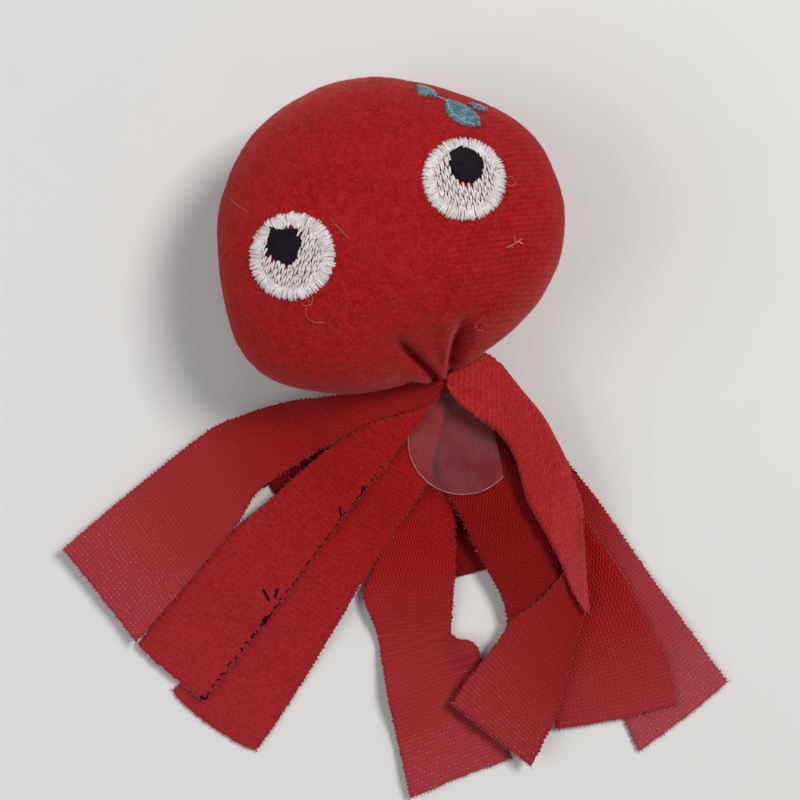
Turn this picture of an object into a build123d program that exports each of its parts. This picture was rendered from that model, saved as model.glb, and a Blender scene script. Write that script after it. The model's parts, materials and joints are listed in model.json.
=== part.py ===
"""A plush octopus cat toy: a stuffed knit head tied off at the neck, eight fabric-strip tentacles.

The toy lies on its back on a table. +Z points up, out of its face, and +Y runs along the table from
the tentacles towards the crown. The origin is the centre of the flat patch that the head rests on.
Every tentacle is a strip of fabric whose height above the table depends only on its distance from
the neck, so a strip can swing round the upright line through the neck without meeting another.
"""

import os
from math import acos, cos, sin

from build123d import *

os.makedirs("parts", exist_ok=True)

# Head (mm)
HEAD_MID_Z = 22.0  # height of the widest section
HEAD_HALF_UP = 21.5  # from the widest section to the face
HEAD_RADIUS = 33.0  # typical radius of the widest section
HEAD_BLUNT = 2.3  # 2 is an ellipse, more is a blunter cushion
PATCH_SHARE = 0.42  # resting patch over the widest section
FACE_SHARE = 0.22  # topmost section over the widest section
SECTIONS = 11  # sections that the head's shape is lofted through
COVER = 1.2  # thickness of the knit cover
FILL_GAP = 0.3  # between the cover and what is inside it
HEAD_OUTLINE = [
    (10.9, -27.6), (18.6, -22.8), (30.4, -10.8), (34.6, 3.0), (29.6, 17.8), (18.6, 26.0),
    (5.0, 30.5), (-8.0, 31.0), (-21.0, 25.6), (-31.4, 14.0), (-34.6, 0.0), (-33.0, -13.6),
    (-26.8, -26.4), (-15.6, -30.9), (-2.0, -30.6), (6.0, -28.4),
]  # widest section, from the neck round to the right

# Inside the head (mm)
POUCH = (22.0, 18.0, 7.0)  # catnip pouch, width, length and thickness
POUCH_CORNER = 3.0

# Embroidery (mm)
STITCH_LOW, STITCH_HIGH = 0.08, 0.75  # stitches stand between these heights on the cover
EYES = {"left": (-18.8, -5.0), "right": (13.7, 9.5)}
EYE_RADIUS = {"left": 8.7, "right": 8.4}
RIM = 2.1  # width of the satin border
PUPIL_RADIUS = 3.4
PUPIL_SHIFT = {"left": (-1.9, 1.9), "right": (0.4, 2.6)}
THREAD_GAP = 0.1
PETALS = {
    "crown_petal_left": ((6.6, 28.0), 5.0, 2.4, -29.0),
    "crown_petal_front": ((13.6, 23.5), 8.2, 4.6, -42.0),
    "crown_petal_right": ((17.2, 25.0), 4.4, 1.7, -25.0),
}  # centre, length, width, direction in degrees

# Neck (mm)
NECK = (10.9, -28.5)  # the upright line that the tentacles swing about
TIE_RADIUS = 3.4  # wound thread that the strips are gathered round
TIE_LOW, TIE_HIGH = 5.2, 14.8

# Tentacles (mm)
CLOTH = 0.95  # thickness of a strip
PITCH = 1.25  # from one strip to the next in the pile
RADII = (3.8, 14.0, 24.0, 34.0, 44.0, 54.0, 70.0, 96.0)  # distances from the neck
PILE_FLOOR = (5.5, 4.4, 2.0, 0.3, 0.1, 0.1, 0.1, 0.1)  # underside of the pile there
FILM = 0.15  # thickness of the clear film disc
FILM_CENTRE = (14.4, -40.4)
FILM_RADIUS = 11.2

# Each strip: its place in the pile at RADII, then its outline from the root round to the root.
TENTACLES = {
    "tentacle_1_far_left": (
        (8, 8, 8, 5, 4, 3.3, 2, 2),
        [NECK, (2.6, -32.0), (-9.0, -33.4), (-20.2, -33.0), (-36.7, -37.2),
         (-57.4, -53.6), (-68.7, -63.2), (-53.3, -82.9), (-31.9, -57.8), (-14.8, -42.4),
         (-4.0, -36.4), (7.4, -33.6)],
    ),
    "tentacle_2_left": (
        (7, 7, 6.5, 4, 3, 2.3, 1, 1),
        [NECK, (-5.0, -35.4), (-17.0, -45.4), (-33.6, -60.4), (-53.1, -83.2),
         (-39.2, -95.0), (-26.2, -78.2), (-9.7, -55.8), (-0.9, -44.9), (10.0, -34.0)],
    ),
    "tentacle_3_left_under": (
        (5, 5, 5, 2.2, 2, 1.3, 0, 0),
        [NECK, (-8.0, -47.0), (-26.0, -69.0), (-46.0, -93.4), (-38.2, -102.2),
         (-28.6, -106.2), (-18.3, -90.6), (-7.0, -71.4), (1.0, -58.6), (7.3, -49.0),
         (10.8, -34.0)],
    ),
    "tentacle_4_centre": (
        (1, 1, 1, 1, 1, 0, 0, 0),
        [NECK, (4.4, -46.0), (-1.2, -60.0), (-6.4, -72.4), (-3.2, -80.8),
         (-1.1, -93.4), (3.7, -115.6), (24.9, -107.2), (18.6, -87.1), (13.6, -78.0),
         (13.1, -51.1), (12.6, -34.0)],
    ),
    "tentacle_5_centre_right": (
        (4, 4, 4, 3.2, 3, 2, 2, 2),
        [NECK, (11.2, -51.4), (14.5, -57.2), (20.4, -68.9), (24.2, -78.4),
         (21.4, -87.0), (18.0, -94.5), (30.5, -98.2), (34.0, -88.0), (36.6, -77.0),
         (33.4, -62.0), (25.0, -45.0), (15.4, -33.0)],
    ),
    "tentacle_7_right": (
        (3, 3, 3, 2.2, 2, 1, 1, 1),
        [NECK, (18.0, -48.0), (28.0, -67.0), (33.0, -85.0), (34.0, -100.9),
         (48.2, -99.3), (59.3, -95.9), (57.6, -86.7), (48.2, -68.8), (36.0, -50.0),
         (24.0, -38.0), (16.0, -31.8)],
    ),
    "tentacle_8_far_right": (
        (2, 2, 2, 1.1, 1, 0, 0, 0),
        [NECK, (22.0, -48.0), (34.0, -70.0), (43.6, -88.0), (51.5, -105.9),
         (65.7, -95.9), (70.5, -91.1), (54.2, -69.1), (43.1, -53.1), (33.6, -41.4),
         (24.0, -33.4), (16.4, -30.8)],
    ),
}
FOLDED = "tentacle_6_folded"
FOLDED_UPPER = (
    (9, 9, 7.7, 6.2, 5.4, 4.5, 4.5, 4.5),
    [NECK, (12.4, -34.0), (16.4, -34.6), (23.1, -39.4), (25.6, -44.4), (27.7, -52.7),
     (32.0, -59.9), (35.9, -67.8), (40.6, -76.2), (39.6, -60.0), (37.6, -49.6),
     (30.6, -35.3), (25.6, -29.7), (20.0, -27.6)],
)  # runs out from the neck, brushed side up
FOLDED_LOWER = (
    (9, 9, 6.5, 5, 4.2, 3.1, 3.1, 3.1),
    [(39.2, -63.0), (30.3, -74.0), (22.6, -81.3), (14.5, -91.7), (12.4, -95.4),
     (19.3, -101.0), (28.8, -108.5), (34.0, -98.5), (39.2, -79.4), (40.8, -76.0)],
)  # doubles back underneath
FOLD_BRIDGE = [(38.0, -63.0), (39.6, -63.0), (41.0, -76.6), (39.4, -76.6)]

# Gathered end of the cover below the neck tie (mm)
SKIRT = 0.8
SKIRT_REACH = 42.0
SKIRT_OUTLINE = [
    NECK, (-8.0, -37.0), (-25.8, -47.6), (-25.2, -51.6), (-16.0, -57.6),
    (0.0, -66.4), (13.1, -69.6), (19.2, -68.0), (31.0, -64.6), (36.6, -58.4),
    (26.0, -44.0), (16.0, -31.6),
]

neck_line = Axis((NECK[0], NECK[1], 0), (0, 0, 1))
neck_profile_plane = Plane(origin=(NECK[0], NECK[1], 0), x_dir=(1, 0, 0), z_dir=(0, -1, 0))


def save(part, name):
    """Labels a finished piece and writes it to its own file."""
    part.label = name
    export_step(part, f"parts/{name}.step")


def head_sections(swell):
    """Height and size of each section of the head, swelled outwards by swell mm.

    Each section has an angle: below 0 it is under the widest section, above 0 over it.
    """
    power = 2 / HEAD_BLUNT
    lowest = -acos(PATCH_SHARE ** (1 / power))
    highest = acos(FACE_SHARE ** (1 / power))
    half_down = HEAD_MID_Z / sin(-lowest) ** power
    sections = []
    for i in range(SECTIONS):
        angle = lowest + (highest - lowest) * i / (SECTIONS - 1)
        half = (HEAD_HALF_UP if angle > 0 else half_down) + swell
        rise = half * abs(sin(angle)) ** power
        height = HEAD_MID_Z + (rise if angle > 0 else -rise)
        sections.append((height, cos(angle) ** power * (1 + swell / HEAD_RADIUS)))
    return sections


def head_body(swell):
    """A closed solid of the head's shape, swelled outwards by swell mm."""
    with BuildPart() as body:
        for height, size in head_sections(swell):
            with BuildSketch(Plane.XY.offset(height)):
                with BuildLine():
                    Spline(*[(x * size, y * size) for x, y in HEAD_OUTLINE], periodic=True)
                make_face()
        loft()
    return body.part


# ---------------------------------------------------------------- head
with BuildPart() as head_cover:
    add(head_body(0))
    add(head_body(-COVER), mode=Mode.SUBTRACT)
save(head_cover.part, "head_cover")


def pouch_body(swell):
    """The catnip pouch's pillow shape, swelled outwards by swell mm."""
    width, length, thickness = (size + 2 * swell for size in POUCH)
    with BuildPart() as body:
        with BuildSketch(Plane.XY.offset(HEAD_MID_Z - thickness / 2)):
            RectangleRounded(width, length, POUCH_CORNER + swell)
        extrude(amount=thickness)
        fillet(body.faces().filter_by(Axis.Z).edges(), thickness * 0.42)
    return body.part


with BuildPart() as head_stuffing:
    add(head_body(-COVER - FILL_GAP))
    add(pouch_body(FILL_GAP), mode=Mode.SUBTRACT)
save(head_stuffing.part, "head_stuffing")
save(pouch_body(0), "catnip_pouch")

# ---------------------------------------------------------------- embroidery
with BuildPart() as stitch_layer:
    add(head_body(STITCH_HIGH))
    add(head_body(STITCH_LOW), mode=Mode.SUBTRACT)


def on_face(sketch_part):
    """The part of an upright prism that lies in the thin layer of stitches on the face."""
    with BuildPart() as stitches:
        add(sketch_part)
        add(stitch_layer.part, mode=Mode.INTERSECT)
    return stitches.part


def upright_ring(centre, outer, inner, inner_shift=(0, 0)):
    """An upright prism from the head's middle to above its face, round, with a round hole."""
    with BuildPart() as prism:
        with BuildSketch(Plane.XY.offset(HEAD_MID_Z)):
            with Locations(centre):
                Circle(outer)
            if inner:
                with Locations((centre[0] + inner_shift[0], centre[1] + inner_shift[1])):
                    Circle(inner, mode=Mode.SUBTRACT)
        extrude(amount=HEAD_HALF_UP + 2)
    return prism.part


for side, centre in EYES.items():
    radius, shift = EYE_RADIUS[side], PUPIL_SHIFT[side]
    pupil_centre = (centre[0] + shift[0], centre[1] + shift[1])
    rim = on_face(upright_ring(centre, radius, radius - RIM))
    white = on_face(
        upright_ring(centre, radius - RIM - THREAD_GAP, PUPIL_RADIUS + THREAD_GAP, shift)
    )
    pupil = on_face(upright_ring(pupil_centre, PUPIL_RADIUS, 0))
    save(rim, f"{side}_eye_rim")
    save(white, f"{side}_eye_white")
    save(pupil, f"{side}_eye_pupil")

for name, (centre, length, width, direction) in PETALS.items():
    with BuildPart() as petal_prism:
        with BuildSketch(Plane.XY.offset(HEAD_MID_Z)):
            with Locations(Location((centre[0], centre[1], 0), (0, 0, direction))):
                Ellipse(length / 2, width / 2)
        extrude(amount=HEAD_HALF_UP + 2)
    save(on_face(petal_prism.part), name)

# ---------------------------------------------------------------- neck
with BuildPart() as neck_tie:
    with BuildSketch(Plane.XY.offset(TIE_LOW)):
        with Locations(NECK):
            Circle(TIE_RADIUS)
    extrude(amount=TIE_HIGH - TIE_LOW)
    add(head_body(THREAD_GAP), mode=Mode.SUBTRACT)
save(neck_tie.part, "neck_tie")

# ---------------------------------------------------------------- tentacles


def heights(places):
    """Distance from the neck and height of a strip's underside, from its places in the pile."""
    return [(r, low + place * PITCH) for r, low, place in zip(RADII, PILE_FLOOR, places)]


def turned_band(low_line, high_line):
    """The body swept round the neck line between two lines of (distance, height)."""
    with BuildPart() as band:
        with BuildSketch(neck_profile_plane):
            with BuildLine():
                Polyline(*low_line, *reversed(high_line), close=True)
            make_face()
        revolve(axis=neck_line)
    return band.part


def strip(low_line, high_line, outline):
    """A strip of cloth between two lines of (distance, height), cut to its outline in plan."""
    with BuildPart() as cloth:
        with BuildSketch():
            with BuildLine():
                Polyline(*outline, close=True)
            make_face()
        extrude(amount=HEAD_MID_Z * 2)
        add(turned_band(low_line, high_line), mode=Mode.INTERSECT)
    return cloth.part


def raised(line, rise):
    return [(r, z + rise) for r, z in line]


for name, (places, outline) in TENTACLES.items():
    underside = heights(places)
    save(strip(underside, raised(underside, CLOTH), outline), name)

upper_line = heights(FOLDED_UPPER[0])
lower_line = heights(FOLDED_LOWER[0])
with BuildPart() as folded:
    add(strip(upper_line, raised(upper_line, CLOTH), FOLDED_UPPER[1]))
    add(strip(lower_line, raised(lower_line, CLOTH), FOLDED_LOWER[1]))
    add(strip(lower_line, raised(upper_line, CLOTH), FOLD_BRIDGE))
save(folded.part, FOLDED)

# ---------------------------------------------------------------- skirt and film disc
skirt_places = (0,) * 5
skirt_line = [p for p in heights(skirt_places) if p[0] <= SKIRT_REACH + 2]
save(strip(skirt_line, raised(skirt_line, SKIRT), SKIRT_OUTLINE), "cover_skirt")

film_line = heights((6, 6, 6, 6, 6, 6, 6, 6))
with BuildPart() as film_disc:
    with BuildSketch():
        with Locations(FILM_CENTRE):
            Circle(FILM_RADIUS)
    extrude(amount=HEAD_MID_Z * 2)
    add(turned_band(film_line, raised(film_line, FILM)), mode=Mode.INTERSECT)
save(film_disc.part, "film_disc")
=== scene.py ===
import json
import math

import bmesh
import bpy
import numpy as np
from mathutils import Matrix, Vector
from mathutils.bvhtree import BVHTree


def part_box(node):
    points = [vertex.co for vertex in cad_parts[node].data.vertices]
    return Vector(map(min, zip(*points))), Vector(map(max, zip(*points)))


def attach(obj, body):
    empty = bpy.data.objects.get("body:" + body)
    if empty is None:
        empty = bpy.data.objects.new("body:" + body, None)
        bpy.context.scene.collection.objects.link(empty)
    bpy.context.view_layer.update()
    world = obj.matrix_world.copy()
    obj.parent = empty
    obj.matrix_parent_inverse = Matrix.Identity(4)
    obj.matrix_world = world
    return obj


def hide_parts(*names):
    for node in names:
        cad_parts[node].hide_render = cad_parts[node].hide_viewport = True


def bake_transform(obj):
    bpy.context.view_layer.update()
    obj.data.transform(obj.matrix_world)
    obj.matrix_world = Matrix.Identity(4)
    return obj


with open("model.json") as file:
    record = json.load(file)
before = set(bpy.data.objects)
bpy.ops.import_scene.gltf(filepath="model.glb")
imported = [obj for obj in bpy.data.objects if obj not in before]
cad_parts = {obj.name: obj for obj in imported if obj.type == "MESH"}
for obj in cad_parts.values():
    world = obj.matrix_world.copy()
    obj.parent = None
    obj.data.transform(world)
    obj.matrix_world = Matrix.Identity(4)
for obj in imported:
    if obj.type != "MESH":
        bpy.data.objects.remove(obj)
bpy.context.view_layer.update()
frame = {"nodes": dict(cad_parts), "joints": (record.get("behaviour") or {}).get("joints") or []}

MM = 0.001
UP = np.array([0.0, 0.0, 1.0])
random = np.random.default_rng(8)
bodies_of_joints = {joint["child"]: joint for joint in frame["joints"]}
NECK = np.array(bodies_of_joints["centre_tentacle"]["pos_m"][:2]) / MM
NECK_WAY = np.array([-0.357, 0.934])  # from the neck towards the crown, in plan
NECK_SIDE = np.array([0.934, 0.357])

# ---------------------------------------------------------------- camera, light, floor
CAMERA_HEIGHT = 0.4
VIEW_WIDTH = 0.168  # what the camera takes in on the table
CAMERA_XY = (0.0016, -0.0322)

scene = bpy.context.scene
scene.view_settings.view_transform = "Standard"
camera_data = bpy.data.cameras.new("camera")
camera_data.sensor_width = 36
camera_data.lens = 36 * CAMERA_HEIGHT / VIEW_WIDTH
camera_data.clip_start = 0.01
camera = bpy.data.objects.new("camera", camera_data)
camera.location = (*CAMERA_XY, CAMERA_HEIGHT)
scene.collection.objects.link(camera)
scene.camera = camera


def area_light(name, location, target, size, power, colour):
    data = bpy.data.lights.new(name, "AREA")
    data.size, data.energy, data.color = size, power, colour
    light = bpy.data.objects.new(name, data)
    light.location = location
    aim = Vector(target) - Vector(location)
    light.rotation_euler = aim.to_track_quat("-Z", "Y").to_euler()
    scene.collection.objects.link(light)


area_light("key", (0.70, 0.40, 1.25), (0, -0.03, 0), 0.42, 16.5, (1.0, 0.98, 0.95))
area_light("fill", (-0.75, -0.15, 0.75), (0, -0.03, 0), 0.7, 4.2, (0.97, 0.985, 1.0))
SKY_STRENGTH, HORIZON_STRENGTH = 0.24, 0.60


def studio_world():
    """Soft light from all round, with a paler band at the horizon as a backdrop."""
    world = bpy.data.worlds.new("world")
    world.use_nodes = True
    tree = world.node_tree
    tree.nodes["Background"].inputs["Color"].default_value = (0.95, 0.97, 1.0, 1)
    parts = tree.nodes.new("ShaderNodeSeparateXYZ")
    tree.links.new(tree.nodes.new("ShaderNodeTexCoord").outputs["Generated"], parts.inputs[0])
    fade = tree.nodes.new("ShaderNodeMapRange")
    fade.inputs["From Min"].default_value, fade.inputs["From Max"].default_value = 0.16, 0.34
    fade.inputs["To Min"].default_value = HORIZON_STRENGTH
    fade.inputs["To Max"].default_value = SKY_STRENGTH
    tree.links.new(parts.outputs[2], fade.inputs["Value"])
    tree.links.new(fade.outputs[0], tree.nodes["Background"].inputs["Strength"])
    scene.world = world


studio_world()


# ---------------------------------------------------------------- mesh helpers
def mesh_piece(name, points, faces, materials, face_slots=None, uv=None):
    """A smooth mesh from points in metres and a list or array of faces."""
    mesh = bpy.data.meshes.new(name)
    mesh.from_pydata([tuple(p) for p in points], [], [tuple(int(i) for i in f) for f in faces])
    for material in materials:
        mesh.materials.append(material)
    if face_slots is not None:
        mesh.polygons.foreach_set("material_index", np.asarray(face_slots, np.int32))
    if uv is not None:
        layer = mesh.uv_layers.new(name="cloth")
        corners = np.zeros(len(mesh.loops), np.int32)
        mesh.loops.foreach_get("vertex_index", corners)
        layer.data.foreach_set("uv", np.asarray(uv, np.float32)[corners].ravel())
    mesh.polygons.foreach_set("use_smooth", np.ones(len(mesh.polygons), bool))
    mesh.update()
    piece = bpy.data.objects.new(name, mesh)
    scene.collection.objects.link(piece)
    return piece


def unit(v):
    return v / np.maximum(np.linalg.norm(v, axis=-1, keepdims=True), 1e-12)


def threads(name, paths, width, height, ups, material, sides=6, taper=None):
    """Many threads as one mesh. paths is (threads, points, 3) in mm, ups their surface normals."""
    paths = np.asarray(paths, float)
    count, steps, _ = paths.shape
    ways = unit(np.gradient(paths, axis=1))
    ups = np.broadcast_to(np.asarray(ups, float), paths.shape)
    across = unit(np.cross(ways, ups))
    rise = unit(np.cross(across, ways))
    turn = np.arange(sides) * 2 * math.pi / sides
    swell = np.ones(steps) if taper is None else np.asarray(taper, float)
    ring = (
        across[:, :, None] * (np.cos(turn)[:, None] * width)
        + rise[:, :, None] * (np.sin(turn)[:, None] * height)
    ) * swell[None, :, None, None]
    points = (paths[:, :, None] + ring).reshape(-1, 3) * MM
    first = np.arange(count)[:, None, None] * steps * sides
    row = np.arange(steps - 1)[None, :, None] * sides
    side = np.arange(sides)[None, None, :]
    after = (side + 1) % sides
    quads = np.stack(
        [first + row + side, first + row + after, first + row + sides + after,
         first + row + sides + side], axis=-1,
    ).reshape(-1, 4)
    faces = quads.tolist()
    for start in range(count):
        low = start * steps * sides
        high = low + (steps - 1) * sides
        faces.append([low + k for k in reversed(range(sides))])
        faces.append([high + k for k in range(sides)])
    return mesh_piece(name, points, faces, [material])


def smooth_noise(points, size, seed):
    """A smooth random value of about -1 to 1 at each point, with features of that size."""
    waves = np.random.default_rng(seed)
    total = np.zeros(len(points))
    for _ in range(7):
        way = unit(waves.normal(size=points.shape[1]))
        total += np.sin(points @ way * 2 * math.pi / (size * waves.uniform(0.7, 1.6))
                        + waves.uniform(0, 6.28))
    return total / 4


# ---------------------------------------------------------------- materials
class Graph:
    """A material's nodes, with short calls for the sums that a pattern needs."""

    def __init__(self, name):
        self.material = bpy.data.materials.new(name)
        self.material.use_nodes = True
        self.tree = self.material.node_tree
        self.shader = self.tree.nodes["Principled BSDF"]

    def plug(self, socket, value):
        if isinstance(value, bpy.types.NodeSocket):
            self.tree.links.new(value, socket)
        else:
            socket.default_value = value

    def node(self, kind, out=0, settings=(), **inputs):
        made = self.tree.nodes.new(kind)
        for key, value in dict(settings).items():
            setattr(made, key, value)
        for key, value in inputs.items():
            self.plug(made.inputs[key.replace("_", " ")], value)
        return made.outputs[out]

    def sum(self, operation, first, second=0.0, third=0.0):
        made = self.tree.nodes.new("ShaderNodeMath")
        made.operation = operation
        for i, value in enumerate((first, second, third)):
            self.plug(made.inputs[i], value)
        return made.outputs[0]

    def times(self, first, second):
        return self.sum("MULTIPLY", first, second)

    def plus(self, first, second):
        return self.sum("ADD", first, second)

    def minus(self, first, second):
        return self.sum("SUBTRACT", first, second)

    def wave(self, value, period):
        return self.sum("SINE", self.times(value, 2 * math.pi / period))

    def ramp(self, value, low, high, to_low=0.0, to_high=1.0):
        return self.node(
            "ShaderNodeMapRange", 0, {"interpolation_type": "SMOOTHSTEP"}, Value=value,
            From_Min=low, From_Max=high, To_Min=to_low, To_Max=to_high,
        )

    def mix(self, share, first, second):
        made = self.tree.nodes.new("ShaderNodeMix")
        made.data_type = "RGBA"
        self.plug(made.inputs[0], share)
        self.plug(made.inputs[6], first)
        self.plug(made.inputs[7], second)
        return made.outputs[2]

    def noise(self, place, scale, detail=3.0, roughness=0.6):
        return self.node("ShaderNodeTexNoise", 0, Vector=place, Scale=scale, Detail=detail,
                         Roughness=roughness)

    def place(self):
        return self.node("ShaderNodeTexCoord", 3)

    def cloth_place(self):
        """Distance across and along the cloth, in mm."""
        flat = self.node("ShaderNodeUVMap", 0, {"uv_map": "cloth"})
        parts = self.tree.nodes.new("ShaderNodeSeparateXYZ")
        self.tree.links.new(flat, parts.inputs[0])
        return self.times(parts.outputs[0], 10), self.times(parts.outputs[1], 10)

    def bump(self, height, distance, strength=1.0):
        made = self.node("ShaderNodeBump", 0, Height=height, Distance=distance, Strength=strength)
        self.tree.links.new(made, self.shader.inputs["Normal"])

    def finish(self, colour, roughness, **sockets):
        self.plug(self.shader.inputs["Base Color"], colour)
        self.plug(self.shader.inputs["Roughness"], roughness)
        for key, value in sockets.items():
            self.plug(self.shader.inputs[key.replace("_", " ")], value)
        return self.material


def rgb(red, green, blue, tone=1.0):
    return (red * tone, green * tone, blue * tone, 1.0)


ROW_PITCH = 0.00105  # from one row of the plush's knit to the next, in metres
ROW_WAY = (-0.17, 0.985)


def plush_material(name="plush_red", tone=1.0):
    """Brushed red knit: a short mottled nap, with the knit's rows showing where it is worn."""
    g = Graph(name)
    place = g.place()
    nap = g.noise(place, 1700.0, 4.0, 0.7)
    patches = g.noise(place, 110.0, 3.0)
    parts = g.tree.nodes.new("ShaderNodeSeparateXYZ")
    g.tree.links.new(place, parts.inputs[0])
    rows = g.plus(g.times(parts.outputs[1], ROW_WAY[1]), g.times(parts.outputs[0], ROW_WAY[0]))
    rows = g.plus(rows, g.times(g.minus(patches, 0.5), 0.0012))
    ridge = g.wave(rows, ROW_PITCH)
    worn = g.ramp(parts.outputs[0], 0.000, 0.024)
    ridge = g.times(ridge, worn)
    speckle = g.minus(g.noise(place, 620.0, 3.0, 0.7), 0.5)
    shade = g.plus(g.ramp(nap, 0.3, 0.72), g.times(ridge, 0.24))
    shade = g.plus(shade, g.times(speckle, 2.2))
    colour = g.mix(shade, rgb(0.235, 0.0045, 0.006, tone), rgb(0.375, 0.012, 0.013, tone))
    colour = g.mix(g.ramp(patches, 0.35, 0.7, 0.0, 0.3), colour, rgb(0.335, 0.014, 0.015, tone))
    height = g.plus(nap, g.times(ridge, 0.22))
    g.bump(height, 0.00022)
    return g.finish(colour, 0.9, Sheen_Weight=0.31, Sheen_Roughness=0.42,
                    Sheen_Tint=rgb(1.0, 0.32, 0.30), Specular_IOR_Level=0.05)


COURSE, COLUMN = 1.2, 0.9  # height of the zigzag's rows and width of its columns, in mm


def strip_material(name, looped, tone=1.0, pale=1.0, later=0.0, ribs=0.10):
    """One side of a tentacle's cloth: looped is the zigzag knit side, and not looped the brushed.

    The zigzag is plain near the neck and blurs into a fine paler weave towards the free end.
    That change comes later, by so many mm, on a strip that is stretched for longer.
    """
    g = Graph(name)
    across, along = g.cloth_place()
    place = g.place()
    wander = g.minus(g.noise(place, 260.0, 2.0), 0.5)
    fine = g.noise(place, 2600.0, 3.0, 0.7)
    nap = g.noise(place, 1500.0, 4.0, 0.7)
    far = g.ramp(along, 26.0 + later, 62.0 + later)
    tip = g.ramp(along, 62.0 + 0.6 * later, 84.0 + 0.6 * later)
    course = g.sum("DIVIDE", along, COURSE)
    near_far = g.minus(1.0, far)
    if looped:
        swing = g.sum("PINGPONG", course, 0.5)
        column = g.plus(g.sum("DIVIDE", across, COLUMN), g.times(swing, 1.35))
        column = g.plus(column, g.times(wander, 0.5))
        off = g.sum("ABSOLUTE", g.minus(g.sum("FRACT", column), 0.5))
        yarn = g.ramp(off, 0.10, 0.34, 1.0, 0.0)
        yarn = g.times(yarn, g.plus(0.22, g.times(near_far, 0.78)))
        rib = g.ramp(g.wave(along, 0.86), -1.0, 1.0)
        weft = g.ramp(g.wave(across, 0.74), -1.0, 1.0)
        weave = g.times(g.plus(g.times(rib, 0.5), g.times(weft, 0.25)), far)
        mesh = g.ramp(g.times(rib, weft), 0.35, 0.95)
        weave = g.plus(yarn, g.times(weave, 0.55))
        shade = g.plus(g.times(weave, 0.74), g.times(fine, 0.34))
        near_dark, near_light = rgb(0.06, 0.0, 0.0, tone), rgb(0.60, 0.007, 0.009, tone)
        far_dark = rgb(0.240, 0.012 * pale, 0.015 * pale, tone)
        far_light = rgb(0.360, 0.029 * pale, 0.034 * pale, tone)
        height, depth, roughness = g.plus(weave, g.times(fine, 0.25)), 0.00024, 0.6
    else:
        rib = g.wave(g.plus(course, g.times(wander, 1.2)), 1.0)
        speckle = g.minus(g.noise(place, 620.0, 3.0, 0.7), 0.5)
        shade = g.plus(g.ramp(nap, 0.30, 0.72), g.times(rib, ribs))
        shade = g.plus(shade, g.times(speckle, 0.9))
        near_dark = rgb(0.235, 0.004 * pale, 0.005 * pale, tone)
        near_light = rgb(0.34, 0.010 * pale, 0.010 * pale, tone)
        far_dark = rgb(0.250, 0.009 * pale, 0.012 * pale, tone)
        far_light = rgb(0.335, 0.019 * pale, 0.024 * pale, tone)
        height, depth, roughness = g.plus(nap, g.times(rib, 1.2 * ribs)), 0.00022, 0.92
    dark = g.mix(far, near_dark, far_dark)
    light = g.mix(far, near_light, far_light)
    colour = g.mix(shade, dark, light)
    pink = rgb(0.36, 0.042 * pale, 0.050 * pale, tone)
    colour = g.mix(g.times(tip, 0.4 if looped else 0.1), colour, pink)
    if looped:
        # Painted glints: pale pink spots on the weave that stand for highlights on the yarn loops,
        # strongest at the free end.
        glint = g.times(mesh, g.ramp(g.noise(place, 1100.0, 2.0), 0.44, 0.66))
        glint = g.times(glint, g.plus(0.05, g.times(tip, 0.34)))
        colour = g.mix(glint, colour, rgb(0.56, 0.22, 0.24))
    g.bump(height, depth)
    return g.finish(colour, roughness, Sheen_Weight=0.09 if looped else 0.22, Sheen_Roughness=0.4,
                    Sheen_Tint=rgb(1.0, 0.42, 0.44), Specular_IOR_Level=0.08)


def thread_material(name, dark, light, roughness, specular=0.5, metal=0.0, sheen=0.2):
    """Embroidery thread: fine twisted fibres with small changes of shade along it."""
    g = Graph(name)
    place = g.place()
    twist = g.noise(place, 3200.0, 2.0, 0.6)
    shade = g.noise(place, 700.0, 2.0, 0.5)
    blend = g.plus(g.times(twist, 0.5), g.times(shade, 0.5))
    colour = g.mix(g.ramp(blend, 0.35, 0.65), dark, light)
    g.bump(twist, 0.00006)
    return g.finish(colour, roughness, Specular_IOR_Level=specular, Sheen_Weight=sheen,
                    Metallic=metal)


def film_material():
    """Thin clear film, milky where it stands off the cloth, with a faint grain."""
    g = Graph("clear_film")
    place = g.place()
    haze = g.noise(place, 180.0, 3.0)
    grain = g.noise(place, 2400.0, 2.0)
    colour = g.mix(haze, rgb(0.20, 0.085, 0.10), rgb(0.32, 0.19, 0.20))
    alpha = g.ramp(g.plus(g.times(haze, 0.7), g.times(grain, 0.3)),
                   0.3, 0.7, 0.13, 0.24)
    g.plug(g.shader.inputs["Alpha"], alpha)
    g.bump(haze, 0.0002)
    return g.finish(colour, 0.32, Specular_IOR_Level=0.3)


def fibre_material(name, dark, light, roughness=0.8):
    g = Graph(name)
    shade = g.noise(g.place(), 420.0, 3.0)
    colour = g.mix(g.ramp(shade, 0.35, 0.65), dark, light)
    g.bump(shade, 0.0001)
    return g.finish(colour, roughness, Sheen_Weight=0.4)


YARN_PITCH = 0.0007


def cotton_material():
    """Plain woven cotton, over and under in both directions."""
    g = Graph("pouch_cotton")
    parts = g.tree.nodes.new("ShaderNodeSeparateXYZ")
    g.tree.links.new(g.place(), parts.inputs[0])
    warp, weft = g.wave(parts.outputs[0], YARN_PITCH), g.wave(parts.outputs[1], YARN_PITCH)
    weave = g.ramp(g.times(warp, weft), -1.0, 1.0)
    g.bump(weave, 0.0001)
    colour = g.mix(weave, rgb(0.50, 0.45, 0.35), rgb(0.72, 0.67, 0.55))
    return g.finish(colour, 0.9, Sheen_Weight=0.2)


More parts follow.
